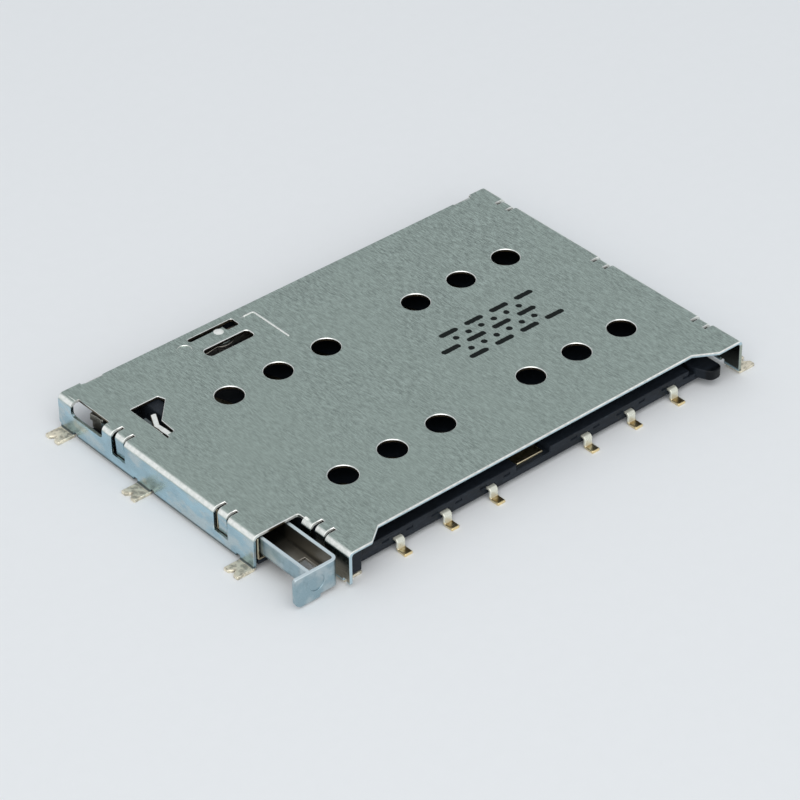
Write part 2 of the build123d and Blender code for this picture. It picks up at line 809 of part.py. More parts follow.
os.makedirs("parts", exist_ok=True)
export_step(shell.part, "parts/shell.step")
export_step(housing.part, "parts/housing.step")
export_step(push_rod.part, "parts/push_rod.step")
export_step(rod_guide.part, "parts/rod_guide.step")
export_step(eject_lever.part, "parts/eject_lever.step")
export_step(lever_pin.part, "parts/lever_pin.step")
export_step(tray_spring.part, "parts/tray_spring.step")
export_step(detect_spring.part, "parts/detect_spring.step")
export_step(detect_contact.part, "parts/detect_contact.step")
for name, piece in contacts.items():
    piece.label = name
    export_step(piece, f"parts/{name}.step")
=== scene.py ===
"""Card socket: materials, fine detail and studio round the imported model. Lengths are in metres unless
a comment or a docstring says millimetres."""

import json
import math

import bmesh
import bpy
import numpy as np
from mathutils import Matrix, Vector

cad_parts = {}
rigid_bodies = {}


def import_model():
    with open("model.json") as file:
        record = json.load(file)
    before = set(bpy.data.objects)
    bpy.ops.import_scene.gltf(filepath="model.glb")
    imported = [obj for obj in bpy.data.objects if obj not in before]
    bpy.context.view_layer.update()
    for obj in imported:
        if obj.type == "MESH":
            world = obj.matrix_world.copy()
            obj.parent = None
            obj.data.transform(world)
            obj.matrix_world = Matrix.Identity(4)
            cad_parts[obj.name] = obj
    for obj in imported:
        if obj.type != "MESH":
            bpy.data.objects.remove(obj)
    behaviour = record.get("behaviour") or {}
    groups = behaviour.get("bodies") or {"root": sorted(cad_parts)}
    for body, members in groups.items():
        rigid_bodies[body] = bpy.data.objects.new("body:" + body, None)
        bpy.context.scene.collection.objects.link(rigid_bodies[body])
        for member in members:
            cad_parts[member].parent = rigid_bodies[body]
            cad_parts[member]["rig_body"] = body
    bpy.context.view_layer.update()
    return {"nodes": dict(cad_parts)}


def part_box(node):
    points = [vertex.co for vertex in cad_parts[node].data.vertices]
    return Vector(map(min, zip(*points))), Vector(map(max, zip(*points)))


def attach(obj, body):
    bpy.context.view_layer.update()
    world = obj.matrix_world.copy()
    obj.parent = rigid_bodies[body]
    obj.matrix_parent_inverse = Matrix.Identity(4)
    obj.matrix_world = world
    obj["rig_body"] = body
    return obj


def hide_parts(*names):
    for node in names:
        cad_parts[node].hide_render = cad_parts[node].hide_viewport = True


bl_info = {
    "name": "Card Socket Detailer",
    "version": (1, 0, 0),
    "blender": (4, 5, 0),
    "location": "View3D > Sidebar > Card Socket",
    "description": "Gives the packed card socket its finishes, fine detail and studio",
    "category": "Object",
}

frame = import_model()
NODES = frame["nodes"]
CONTACTS = sorted(name for name in NODES if name.startswith("contact_"))
MM = 0.001
MARK_COLUMNS, MARK_ROWS = 4, 3  # of dashes

# Merging, in metres
RING_MERGE = 1e-7
NODE_MERGE = 2e-7
SHORTEST_EDGE = 1e-9

# Chamfers. Angles are in degrees.
MERGE_ANGLE = 0.4  # faces that turn less are one face
SHARP_ANGLE = 28.0  # faces that turn more are shaded apart
CHAMFER_ANGLE = 38.0  # edges between faces that turn more are chamfered
CHAMFER_ROOM = 2.6  # mean width of a face over the widest chamfer beside it
CHAMFER_SEGMENTS = 2
LEAST_WEIGHT = 0.15  # an edge whose weight is less stays sharp
RUN_ON = -0.7  # two edges run on into each other if the cosine between them is less
NEIGHBOURS = 5  # edges at a corner that each edge is compared with

# Pieces with softened edges: each node, its chamfer over that of the shell, and its finish
STEEL_PIECES = [
    ("shell", 1.0, "stamped_steel"),
    ("push_rod", 0.6, "rod_steel"),
    ("eject_lever", 0.5, "lever_steel"),
    ("lever_pin", 0.6, "stamped_steel"),
    ("rod_guide", 0.6, "nickel_brass"),
]
MOULDED_PIECES = [("housing", 1.4, "dark_resin")]
SPRUNG_PIECES = [
    (node, 1.0, "contact_alloy") for node in [*CONTACTS, "tray_spring", "detect_spring", "detect_contact"]
]

# Contact domes. The tip's hole is a share of the radius, and the other two sizes are in millimetres.
DOME_RINGS = 12
DOME_SIDES = 32
DOME_HOLE = 0.02
DOME_SUNK = 0.03
CREST_DEPTH = 0.01

# Steps of the shell's masks, each with its start and its end. Places and heights are in millimetres, a
# side's place is its distance from the middle, and a facing is the size of a face normal's part along
# an axis.
FACING_UP = 0.86, 0.985
FACING_ARC = 0.1, 0.45
FACING_ARC_END = 0.98, 0.78
FACING_FRONT = 0.45, 0.65
FACING_WALL_END = 0.5, 0.7
FACING_SLIT = 0.7, 0.9
WALL_TOP = 1.42, 1.52
BELOW_FOLD = 1.5, 1.4
EDGE_FOOT = 1.5, 1.54
EDGE_RIM = 1.655, 1.67
LOWER_BAND = 1.65, 1.62
UNDERSIDE = 1.575, 1.552
PLATE_TOP = 1.68, 1.69
RAISED_TOP = 1.714, 1.72
FINGER_LOW = 1.59, 1.62
FINGER_HIGH = 1.682, 1.677
FINGER_LEFT = -10.4, -10.3
FINGER_RIGHT = -9.2, -9.3
FOOT_TOP = 0.17, 0.14
FOOT_BEND = 0.6, 0.5
ABOVE_FOOT = 0.2, 0.3
FRONT_FOOT = 0.18, 0.25
# Height of the painted shadow along the foot of the outer walls
WALL_FOOT_SHADOW = 0.3, 0.22
SIDE_FOLD = 11.3, 11.36
SIDE_END = 11.2, 11.3
SIDE_SLITS = 10.8, 10.95
SIDE_OUTSIDE = 11.5, 11.6
SIDE_INSIDE = 11.508, 11.5
BEYOND_SIDE = 11.66, 11.7
REAR_INSIDE = 7.76, 7.72
REAR_EDGE = 7.8, 7.84
FRONT_EDGE = -6.8, -6.9
GUIDE_WALL = -4.5, -4.7
GUIDE_FOLD = -9.41  # its middle, and the next two are distances from it
GUIDE_FOLD_WIDTH = 0.24, 0.2
GUIDE_SLITS = 0.7, 0.6
ROD_BAY_REAR = -4.4, -4.8
ROD_BAY_RIGHT = -9.0, -9.2
ROD_BAY_TOP = 1.3, 0.5
# Where the painted sheen on the plate starts and ends
SHEEN_CORNER = 14.0, -16.0  # X and Y together

# The rod's box in metres, and places on the rod, the contacts and the housing in millimetres. The
# inside and the rim of the rod are depths from its left and right sides, its front end and its top.
# Shade is painted inside the rod and on the rod and the contacts where the plate lies over them, and
# highlights are painted on the rod's top edges and on the contacts' bends and tail ends.
ROD_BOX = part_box("push_rod")
ROD_LEFT = -11.3
ROD_INSIDE = 0.03, 0.1
ROD_BEHIND = 0.04, 0.1
ROD_BELOW = 0.01, 0.04
ROD_RIM = 0.05, 0.02
ROD_COVERED = -4.7, -4.4
ROD_OPEN = -4.5, -4.7
TAIL_BEND_HEIGHT = 0.13, 0.2
TAIL_BEND = 7.0, 7.15
TAIL_FLAT_HEIGHT = 0.2, 0.12
TAIL_END = 7.68, 7.8
FACING_TAIL = 0.6, 0.9
CONTACT_COVERED = 6.2, 5.9
CONTACT_HEIGHT = 0.25, 0.4
ARM_LEFT = 9.0, 9.3
ARM_REAR = -7.5, -7.65

# Ink: width of its soft rim, in millimetres, and how ragged it is, in square millimetres
INK_SOFT = 0.015
INK_RAGGED = 0.02

# Grain: noise cells to a millimetre along X, Y and Z
PLATE_STREAKS = (24.0, 2.8, 24.0)
PLATE_SCRATCHES = (60.0, 14.0, 60.0)
PLATE_BANDS = (3.2, 0.35, 3.2)
WALL_PATCHES = (0.6, 0.4, 1.0)
WALL_CLOUDS = (1.0, 0.8, 1.6)
ROD_LINES = (26.0, 1.2, 26.0)
LEVER_LINES = (1.6, 24.0, 24.0)
BRASS_LINES = (30.0, 1.5, 30.0)
CONTACT_LINES = (32.0, 2.2, 32.0)
RESIN_FIBRES = (4.0, 22.0, 22.0)
RESIN_FLOW = (0.5, 1.4, 1.4)
RESIN_PITS = 26.0  # along each axis

# Depth of the relief, in millimetres
PLATE_DEPTH = 0.008
LINES_DEPTH = 0.004
CONTACT_DEPTH = 0.003
RESIN_DEPTH = 0.006

# Strength of the resin's mirror-like shine, where 0.5 is that of plain glass
RESIN_SHINE = 0.17

# Studio: the lamp and the camera's near and far limits in metres, the rest of the camera in
# millimetres. The camera's axes, place and lens are fitted to the photograph.
KEY_PLACE = (-0.16, -0.2, 0.26)
CAMERA_RIGHT = (0.75437873, -0.65638714, -0.00828604)
CAMERA_UP = (0.39089082, 0.43903429, 0.80898285)
CAMERA_BACK = (-0.52736809, -0.61351839, 0.58777384)
CAMERA_PLACE = (-73.7858, -85.60882, 82.12002)
CAMERA_LENS = 153.537
CAMERA_SENSOR = 36.0
CAMERA_NEAR, CAMERA_FAR = 0.005, 10.0


# Meshes


def closed_grid(rows, columns):
    """Corner numbers of the quads of a grid whose points are numbered row by row, and whose last
    column joins the first."""
    row, column = np.meshgrid(np.arange(rows - 1), np.arange(columns), indexing="ij")
    next_column = (column + 1) % columns
    corners = [
        row * columns + column,
        (row + 1) * columns + column,
        (row + 1) * columns + next_column,
        row * columns + next_column,
    ]
    return np.stack(corners, axis=-1).reshape(-1, 4)


def turned_profile(radius, height, centre, count):
    """Rings about an upright axis: x = centre x + r cos a, y = centre y + r sin a, z = centre z + h,
    for each profile point (r, h) and each of count angles a. The first and last rings are left open."""
    angle = np.linspace(0, 2 * math.pi, count, endpoint=False)
    ring = np.stack([np.cos(angle), np.sin(angle)], axis=-1)
    flat = radius[:, None, None] * ring
    rise = np.broadcast_to(height[:, None, None], (len(radius), count, 1))
    points = centre + np.concatenate([flat, rise], axis=-1)
    return points.reshape(-1, 3), closed_grid(len(radius), count)


def add_piece(name, points, faces, body, slot, finish):
    """A new mesh object that rides on a body of the part, with the openings of its surface closed."""
    mesh = bpy.data.meshes.new(name)
    mesh.vertices.add(len(points))
    mesh.vertices.foreach_set("co", points.astype(np.float32).ravel())
    mesh.loops.add(faces.size)
    mesh.loops.foreach_set("vertex_index", faces.astype(np.int32).ravel())
    mesh.polygons.add(len(faces))
    mesh.polygons.foreach_set("loop_start", np.arange(0, faces.size, faces.shape[1], dtype=np.int32))
    mesh.polygons.foreach_set("use_smooth", np.ones(len(faces), bool))
    mesh.update(calc_edges=True)
    mesh.validate()
    work = bmesh.new()
    work.from_mesh(mesh)
    bmesh.ops.remove_doubles(work, verts=work.verts, dist=RING_MERGE)
    holes = [edge for edge in work.edges if edge.is_boundary]
    bmesh.ops.holes_fill(work, edges=holes)
    bmesh.ops.recalc_face_normals(work, faces=work.faces)
    work.to_mesh(mesh)
    work.free()
    mesh.materials.append(finish)
    piece = bpy.data.objects.new(name, mesh)
    bpy.context.scene.collection.objects.link(piece)
    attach(piece, body)


def read_all(items, key, width, kind=np.float64):
    """One property of every item of a mesh collection, as an array with a row for each item."""
    values = np.empty(len(items) * width, kind)
    items.foreach_get(key, values)
    return values.reshape(-1, width)


def mark_edges(mesh, width):
    """Weights for the chamfer of the outer edges where faces meet at a clear angle. An edge's room
    is the mean width of its narrower face, measured away from it: area over the edge's length. Edges
    that run on into each other share the least weight, so that a run has one width, and a run that
    passes an inner edge stays sharp."""
    edge_of = read_all(mesh.loops, "edge_index", 1, np.int32)[:, 0]
    sides = read_all(mesh.polygons, "loop_total", 1, np.int32)[:, 0]
    face_of = np.repeat(np.arange(len(sides)), sides)
    normal = read_all(mesh.polygons, "normal", 3)
    area = read_all(mesh.polygons, "area", 1)[:, 0]
    ends = read_all(mesh.edges, "vertices", 2, np.int32)
    place = read_all(mesh.vertices, "co", 3)
    along = place[ends[:, 1]] - place[ends[:, 0]]
    length = np.maximum(np.linalg.norm(along, axis=1), SHORTEST_EDGE)
    along /= length[:, None]
    order = np.argsort(edge_of, kind="stable")
    first = np.searchsorted(edge_of[order], np.arange(len(ends)))
    last = np.searchsorted(edge_of[order], np.arange(len(ends)), side="right") - 1
    one, other = face_of[order][first], face_of[order][last]
    turn = np.sum(normal[one] * normal[other], axis=1)
    start = read_all(mesh.loops, "vertex_index", 1, np.int32)[:, 0][order][first]
    ahead = np.where(start == ends[:, 0], 1.0, -1.0)[:, None]
    inward = np.cross(normal[one], along * ahead)
    outer = np.sum(inward * normal[other], axis=1) < 0
    marked = (last == first + 1) & (turn < math.cos(math.radians(CHAMFER_ANGLE)))
    room = np.minimum(area[one], area[other]) / length / CHAMFER_ROOM
    weight = np.clip(room / width, 0.0, 1.0) * outer

    edge = np.nonzero(marked)[0]
    corner = np.concatenate([ends[edge, 0], ends[edge, 1]])
    away = np.concatenate([along[edge], -along[edge]])
    edge = np.concatenate([edge, edge])
    order = np.argsort(corner, kind="stable")
    corner, away, edge = corner[order], away[order], edge[order]
    pairs = []
    for step in range(1, NEIGHBOURS + 1):
        straight = np.sum(away[:-step] * away[step:], axis=1) < RUN_ON
        meets = np.nonzero((corner[:-step] == corner[step:]) & straight)[0]
        pairs.append(np.stack([edge[meets], edge[meets + step]]))
    here, there = np.concatenate(pairs, axis=1)
    settled = False
    while not settled:
        least = np.minimum(weight[here], weight[there])
        settled = bool(np.all(least == weight[here]) and np.all(least == weight[there]))
        np.minimum.at(weight, here, least)
        np.minimum.at(weight, there, least)
    weight[~marked | (weight < LEAST_WEIGHT)] = 0.0
    marks = mesh.attributes.new("bevel_weight_edge", "FLOAT", "EDGE")
    marks.data.foreach_set("value", weight.astype(np.float32))


def softened_copy(node, width, slot, finish):
    """A merged copy of a node with its sharp edges broken by a narrow chamfer, shown in its place."""
    source = NODES[node]
    mesh = source.data.copy()
    mesh.name = f"{node}_softened"
    work = bmesh.new()
    work.from_mesh(mesh)
    bmesh.ops.remove_doubles(work, verts=work.verts, dist=NODE_MERGE)
    limit = math.radians(MERGE_ANGLE)
    bmesh.ops.dissolve_limit(work, angle_limit=limit, verts=work.verts, edges=work.edges)
    work.to_mesh(mesh)
    work.free()
    mesh.materials.clear()
    mesh.materials.append(finish)
    piece = bpy.data.objects.new(f"{node}_softened", mesh)
    bpy.context.scene.collection.objects.link(piece)
    mesh.polygons.foreach_set("use_smooth", np.ones(len(mesh.polygons), bool))
    mesh.set_sharp_from_angle(angle=math.radians(SHARP_ANGLE))
    mark_edges(mesh, width)
    chamfer = piece.modifiers.new("broken edges", "BEVEL")
    chamfer.width = width
    chamfer.segments = CHAMFER_SEGMENTS
    chamfer.limit_method = "WEIGHT"
    chamfer.use_clamp_overlap = False
    even = piece.modifiers.new("flat faces stay flat", "WEIGHTED_NORMAL")
    even.mode = "FACE_AREA"
    even.keep_sharp = True
    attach(piece, source["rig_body"])
    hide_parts(node)


# Shader graphs


class Signal:
    """A shader socket that takes part in plain arithmetic."""

    def __init__(self, graph, socket):
        self.graph = graph
        self.socket = socket

    def combine(self, operation, first, second):
        node = self.graph.node("ShaderNodeMath", {"operation": operation}, {0: first, 1: second})
        return self.graph.output(node)

    def __add__(self, other):
        return self.combine("ADD", self, other)

    def __radd__(self, other):
        return self.combine("ADD", other, self)

    def __sub__(self, other):
        return self.combine("SUBTRACT", self, other)

    def __rsub__(self, other):
        return self.combine("SUBTRACT", other, self)

    def __mul__(self, other):
        return self.combine("MULTIPLY", self, other)

    def __rmul__(self, other):
        return self.combine("MULTIPLY", other, self)

    def most(self, other):
        return self.combine("MAXIMUM", self, other)

    def size(self):
        return self.combine("ABSOLUTE", self, 0.0)

    def repeat(self, pitch):
        """The value folded into one cell, from minus half a pitch to half a pitch."""
        sockets = {0: self, 1: pitch / 2, 2: -pitch / 2}
        node = self.graph.node("ShaderNodeMath", {"operation": "WRAP"}, sockets)
        return self.graph.output(node)


class Graph:
    """A node tree, emptied, and what fills it again."""

    def __init__(self, tree):
        self.tree = tree
        self.tree.nodes.clear()

    def node(self, kind, settings=None, sockets=None):
        """A node of any kind: its settings first, then the values or links of its sockets."""
        made = self.tree.nodes.new(kind)
        for key, value in (settings or {}).items():
            setattr(made, key, value)
        self.fill(made, sockets or {})
        return made

    def fill(self, node, sockets):
        """Gives sockets of a node their values or links."""
        for key, value in sockets.items():
            if isinstance(value, Signal):
                self.tree.links.new(value.socket, node.inputs[key])
            else:
                node.inputs[key].default_value = value

    def output(self, node, key=0):
        return Signal(self, node.outputs[key])


class Finish(Graph):
    """One material with a principled shader and the graph that feeds it."""

    def __init__(self, name):
        self.material = bpy.data.materials.new(name)
        self.material.use_nodes = True
        super().__init__(self.material.node_tree)
        self.shader = self.node("ShaderNodeBsdfPrincipled")
        self.node("ShaderNodeOutputMaterial", None, {"Surface": self.output(self.shader, "BSDF")})
        place = self.node("ShaderNodeTexCoord")
        sockets = {"Vector": self.output(place, "Object"), "Scale": 1 / MM}
        millimetres = self.node("ShaderNodeVectorMath", {"operation": "SCALE"}, sockets)
        self.spot = self.output(millimetres, "Vector")
        self.x, self.y, self.z = self.parts(self.spot)
        self.facing = [part.size() for part in self.parts(self.output(place, "Normal"))]

    def parts(self, vector):
        node = self.node("ShaderNodeSeparateXYZ", None, {"Vector": vector})
        return [self.output(node, axis) for axis in "XYZ"]

    def noise(self, scale, detail, roughness):
        """Noise of 0 to 1 with a number of cells to a millimetre."""
        sockets = {"Vector": self.spot, "Scale": scale, "Detail": detail, "Roughness": roughness}
        return self.output(self.node("ShaderNodeTexNoise", None, sockets))

    def grain(self, scales, detail, roughness):
        """Noise of 0 to 1 with its own number of cells to a millimetre along each axis."""
        stretch = {"operation": "MULTIPLY"}
        stretched = self.node("ShaderNodeVectorMath", stretch, {0: self.spot, 1: scales})
        sockets = {"Vector": self.output(stretched, "Vector"), "Scale": 1.0}
        sockets |= {"Detail": detail, "Roughness": roughness}
        return self.output(self.node("ShaderNodeTexNoise", None, sockets))

    def speckle(self, scale):
        """Distance from the nearest of scattered points, with a number of them to a millimetre."""
        node = self.node("ShaderNodeTexVoronoi", None, {"Vector": self.spot, "Scale": scale})
        return self.output(node, "Distance")

    def rise(self, value, start, end):
        """A smooth step of a value from 0 at start to 1 at end."""
        sockets = {"Value": value, "From Min": start, "From Max": end}
        node = self.node("ShaderNodeMapRange", {"interpolation_type": "SMOOTHSTEP"}, sockets)
        return self.output(node, "Result")

    def blend(self, factor, first, second):
        """One colour passing into another."""
        sockets = {0: factor, 6: first, 7: second}
        node = self.node("ShaderNodeMix", {"data_type": "RGBA", "clamp_factor": True}, sockets)
        return self.output(node, 2)

    def feed(self, **sockets):
        """Gives the shader's sockets their values or links, named with underscores for spaces."""
        self.fill(self.shader, {key.replace("_", " "): value for key, value in sockets.items()})

    def rolled_grain(self):
        """Three layers of the sheet's surface: short streaks along Y, long bands and wide clouds."""
        streaks = self.grain(PLATE_STREAKS, 3.0, 0.7)
        scratches = self.grain(PLATE_SCRATCHES, 2.0, 0.6)
        bands = self.grain(PLATE_BANDS, 3.0, 0.6)
        return streaks * 0.62 + scratches * 0.38, bands, self.noise(0.32, 3.0, 0.5)

    def relief(self, height, depth, strength):
        """Bump of a height field of 0 to 1 over a depth in millimetres."""
        sockets = {"Height": height, "Distance": depth * MM, "Strength": strength}
        node = self.node("ShaderNodeBump", None, sockets)
        self.feed(Normal=self.output(node, "Normal"))


# Finishes


def rgba(colour, factor=1.0):
    """A node's colour: three parts times a factor, none over one, and full cover."""
    return (*[min(1.0, part * factor) for part in colour], 1.0)


def printed_marks(finish, sizes):
    """Mask of the black marking. Dashes stand in rows, each shifted against the next away from the
    middle row, with rows of dots between them. Both are one cell repeated: a dash is what lies within
    half its width of its middle line, a dot what lies within its radius."""
    pitch_x, pitch_y = sizes.mark_pitch_x / MM, sizes.mark_pitch_y / MM
    half_width = sizes.mark_width / MM / 2
    half_line = sizes.mark_length / MM / 2 - half_width
    x = finish.x - sizes.mark_x / MM
    y = finish.y - sizes.mark_y / MM
    lean = sizes.mark_shift / sizes.mark_pitch_y
    ragged = (finish.noise(7.0, 2.0, 0.5) - 0.5) * INK_RAGGED

    def cells(columns, rows):
        """Distances from the middle of the nearest cell of a grid, and the mask of the grid."""
        lift = (y - pitch_y * (rows % 2 - 1) / 2).repeat(pitch_y)
        row = x - (y - lift).size() * lean
        across = (row - pitch_x * (columns % 2 - 1) / 2).repeat(pitch_x)
        side, end = pitch_x * columns / 2, pitch_y * rows / 2
        grid = finish.rise(row.size(), side, side - INK_SOFT) * finish.rise(y.size(), end, end - INK_SOFT)
        return across.size(), lift, grid

    def within(along, lift, radius):
        """Mask of what lies within a radius."""
        reach = along * along + lift * lift + ragged
        return finish.rise(reach, (radius + INK_SOFT) ** 2, (radius - INK_SOFT) ** 2)

    across, lift, grid = cells(MARK_COLUMNS, MARK_ROWS)
    dashes = within((across - half_line).most(0.0), lift, half_width) * grid
    across, lift, grid = cells(MARK_COLUMNS - 1, MARK_ROWS - 1)
    dots = within(across - sizes.mark_dot_place / MM, lift, sizes.mark_dot / MM / 2) * grid
    return dashes.most(dots)


class ShellZones:
    """Masks of the shell's surface, by place and facing: flat faces, walls, folds, cut edges, the sprung
    finger, the raised dome and bead, painted highlights on folds, rims, edges and the finger, painted
    shade on the inside with a painted warm reflection in the rod's bay, a painted shadow along the foot
    of the walls over the board, and the feet."""

    def __init__(self, finish):
        x, y, z = finish.x, finish.y, finish.z
        ahead, upward = finish.facing[1:]
        side, rise = x.size(), finish.rise
        guide = rise(y, *GUIDE_WALL)
        self.flat = rise(upward, *FACING_UP)
        upright = 1.0 - self.flat
        high = rise(z, *WALL_TOP)
        self.wall = upright * (1.0 - high)
        guide_fold = rise((x - GUIDE_FOLD).size(), *GUIDE_FOLD_WIDTH) * guide
        fold = rise(side, *SIDE_FOLD).most(guide_fold)
        self.sheared = upright * (1.0 - fold) * rise(z, *EDGE_FOOT)

        front = rise(ahead, *FACING_FRONT) * rise(z, *FRONT_FOOT)
        front = front * rise(y, *FRONT_EDGE).most(rise(y, *REAR_EDGE))
        front = front * (1.0 - rise(x, *SIDE_END) * rise(z, *BELOW_FOLD) * 0.8)
        self.lower = front * rise(z, *LOWER_BAND)
        self.end = rise(ahead, *FACING_WALL_END) * rise(x, *SIDE_END) * self.wall
        # Painted highlight on the top rim of the cut edges
        self.cut = self.sheared * rise(z, *EDGE_RIM) * (1.0 - front)
        beside = rise(side, *SIDE_SLITS)
        beside = beside.most(rise((x - GUIDE_FOLD).size(), *GUIDE_SLITS) * guide)
        slit = rise(ahead, *FACING_SLIT) * beside * high * (1.0 - front)
        arc = rise(upward, *FACING_ARC) * rise(upward, *FACING_ARC_END)
        self.raised = rise(z, *RAISED_TOP)
        # Painted highlight: folds, the raised bead and dome, the front and rear edges and the slit rims
        self.bright = (arc * fold * high).most(self.raised).most(front).most(slit * 0.85)

        # Painted highlight: the sprung finger is coloured near white and made less metallic
        finger = self.flat * rise(x, *FINGER_LEFT) * rise(x, *FINGER_RIGHT)
        self.finger = finger * rise(z, *FINGER_LOW) * rise(z, *FINGER_HIGH)
        self.top = self.flat * rise(z, *PLATE_TOP)
        # Painted shade on the underside of the plate and the inner faces of the walls
        within = rise(side, *SIDE_INSIDE) * rise(y, *REAR_INSIDE) * (1.0 - front)
        under = upright * rise(z, *BELOW_FOLD) + self.flat * rise(z, *UNDERSIDE)
        self.inside = within * under * rise(z, *ABOVE_FOOT)
        rod_bay = rise(y, *ROD_BAY_REAR) * rise(x, *ROD_BAY_RIGHT) * rise(z, *ROD_BAY_TOP)
        # Painted reflection: a warm brown patch on the inner faces in the rod's bay
        self.warm_reflection = self.inside * rod_bay
        # Painted shadow: a dark band along the foot of the outer walls, over the board
        self.wall_foot_shadow = self.wall * rise(z, *WALL_FOOT_SHADOW) * rise(side, *SIDE_OUTSIDE)
        self.feet = rise(z, *FOOT_TOP).most(rise(side, *BEYOND_SIDE) * rise(z, *FOOT_BEND))


def plate_colour(finish, colours, grain, bands, clouds):
    """The rolled face: dark and pale streaks, with a paler tint in clouds, and a painted sheen that pales
    it towards the front left corner.
    """
    steel = Vector(colours.steel)
    streaks = finish.blend(finish.rise(grain, 0.4, 0.6), rgba(steel * 0.6), rgba(steel * 1.45))
    # Painted sheen: paler towards the front left corner
    near = finish.rise(finish.x + finish.y, *SHEEN_CORNER)
    tint = finish.rise(clouds + bands * 0.5, 0.5, 1.0)
    pale = rgba((steel.x * 1.14, steel.y * 1.15, steel.z * 1.13))
    return finish.blend(tint * 0.35 + near * 0.3, streaks, pale)


def wall_colour(finish, colours):
    """The polished side walls: broad blue patches under silver clouds."""
    wall = Vector(colours.wall)
    broad = finish.grain(WALL_PATCHES, 2.0, 0.5)
    patches = finish.blend(finish.rise(broad, 0.36, 0.66), rgba(wall * 0.84), rgba(wall * 1.08))
    clouds = finish.grain(WALL_CLOUDS, 3.0, 0.6)
    return finish.blend(finish.rise(clouds, 0.46, 0.62) * 0.7, patches, rgba(colours.silver))


def stamped_steel(colours):
    """Rolled sheet steel: a fine grain along Y on the plate, polished walls with soft clouds, painted
    highlights on the folds, cut rims, front edges, slits, bead, dome and finger, painted shade on the cut
    walls below the rims and on the inside, with a painted warm reflection in the rod's bay, a painted
    shadow along the foot of the walls, a black marking, and a mottled warm flash on the feet."""
    finish = Finish("stamped_steel")
    zones = ShellZones(finish)
    grain, bands, clouds = finish.rolled_grain()
    wall, flash, inside = Vector(colours.wall), Vector(colours.flash), Vector(colours.inside)
    sparkle = finish.rise(finish.noise(5.0, 3.0, 0.65), 0.35, 0.6)
    mark = zones.top * printed_marks(finish, bpy.context.scene.socket_sizes)
    mottle = finish.rise(finish.noise(4.6, 3.0, 0.6), 0.36, 0.58)
    mottle = mottle.most(finish.rise(finish.z, *ABOVE_FOOT))
    body = plate_colour(finish, colours, grain, bands, clouds)
    layers = [
        (zones.wall, wall_colour(finish, colours)),
        # Painted shade: the cut walls below their rims are coloured dark brown
        (zones.sheared, rgba(colours.sheared)),
        # Painted highlight on the folds, bead, dome, front and rear edges and slit rims
        (zones.bright * (0.7 + sparkle * 0.3), rgba(colours.highlight_white)),
        # Painted highlight on the top rim of the cut edges
        (zones.cut, rgba(colours.highlight_white, 1.1)),
        (zones.lower * 0.85, rgba(wall * 0.95)),
        (zones.end, rgba(colours.wall_end)),
        # Painted highlight on the sprung finger
        (zones.finger * (0.72 + sparkle * 0.28), rgba(colours.highlight_white)),
        (mark, rgba(colours.marking)),
        # Painted shade on the shell's inner faces
        (zones.inside, rgba(inside)),
        # Painted reflection in the rod's bay
        (zones.warm_reflection * 0.8, rgba(flash * 0.55)),
        # Painted shadow along the foot of the outer walls
        (zones.wall_foot_shadow * 0.8, rgba(inside * 0.6)),
        (zones.feet, finish.blend(mottle, rgba(flash * 0.6), rgba(flash * 1.18))),
    ]
    for cover, colour in layers:
        body = finish.blend(cover, body, colour)

    smooth = 0.26 + finish.rise(grain, 0.2, 0.8) * 0.16 + clouds * 0.06
    roughness = smooth - zones.wall * 0.12 + zones.bright * 0.14 - zones.cut * 0.05 + mark * 0.3
    # Less metallic where highlights are painted, so that they read white
    metallic = 1.0 - zones.bright * 0.7 + zones.raised * 0.2 - zones.feet * 0.4 - zones.finger * 0.6
    finish.feed(Base_Color=body, Metallic=metallic, Roughness=roughness)
    pits = mottle * zones.feet * 2.0
    finish.relief(grain * zones.flat * (1.0 - mark) * 0.6 + pits, PLATE_DEPTH, 0.7)
    return finish.material


def rod_steel(colours):
    """Cold rolled strip: smoother than the plate, with faint draw lines along Y, soft clouds, painted
    highlights on the top edges, and painted shade inside it and where the plate lies over it."""
    finish = Finish("rod_steel")
    x, y, z = finish.x, finish.y, finish.z
    low, high = [corner / MM for corner in ROD_BOX]
    lines = finish.grain(ROD_LINES, 3.0, 0.6)
    clouds = finish.noise(1.1, 3.0, 0.5)
    rub = finish.rise(finish.noise(3.4, 4.0, 0.6), 0.5, 0.7)
    steel = Vector(colours.rod)
    body = finish.blend(finish.rise(lines, 0.3, 0.7), rgba(steel * 0.88), rgba(steel * 1.1))
    body = finish.blend(finish.rise(clouds, 0.42, 0.6) * 0.75, body, rgba(colours.rod_cloud))
    body = finish.blend(rub * 0.45, body, rgba(steel * 0.66))
    # Painted shade inside the rod's channel
    inside = finish.rise(x - ROD_LEFT, *ROD_INSIDE) * finish.rise(high.x - x, *ROD_INSIDE)
    inside = inside * finish.rise(y - low.y, *ROD_BEHIND) * finish.rise(high.z - z, *ROD_BELOW)
    body = finish.blend(inside * 0.92, body, rgba(colours.rod_inside))
    # Painted highlight: the rod's top edges in the open are pale and less metallic
    rim = finish.rise(high.z - z, *ROD_RIM) * finish.rise(y, *ROD_OPEN)
    body = finish.blend(rim * 0.9, body, rgba(colours.rod_top_highlight))
    # Painted shade where the plate lies over the rod
    body = finish.blend(finish.rise(y, *ROD_COVERED) * 0.8, body, rgba(colours.inside))
    roughness = 0.28 + lines * 0.12 + clouds * 0.08 + rim * 0.06
    finish.feed(Base_Color=body, Metallic=1.0 - rim * 0.3, Roughness=roughness)
    finish.relief(lines, LINES_DEPTH, 0.5)
    return finish.material


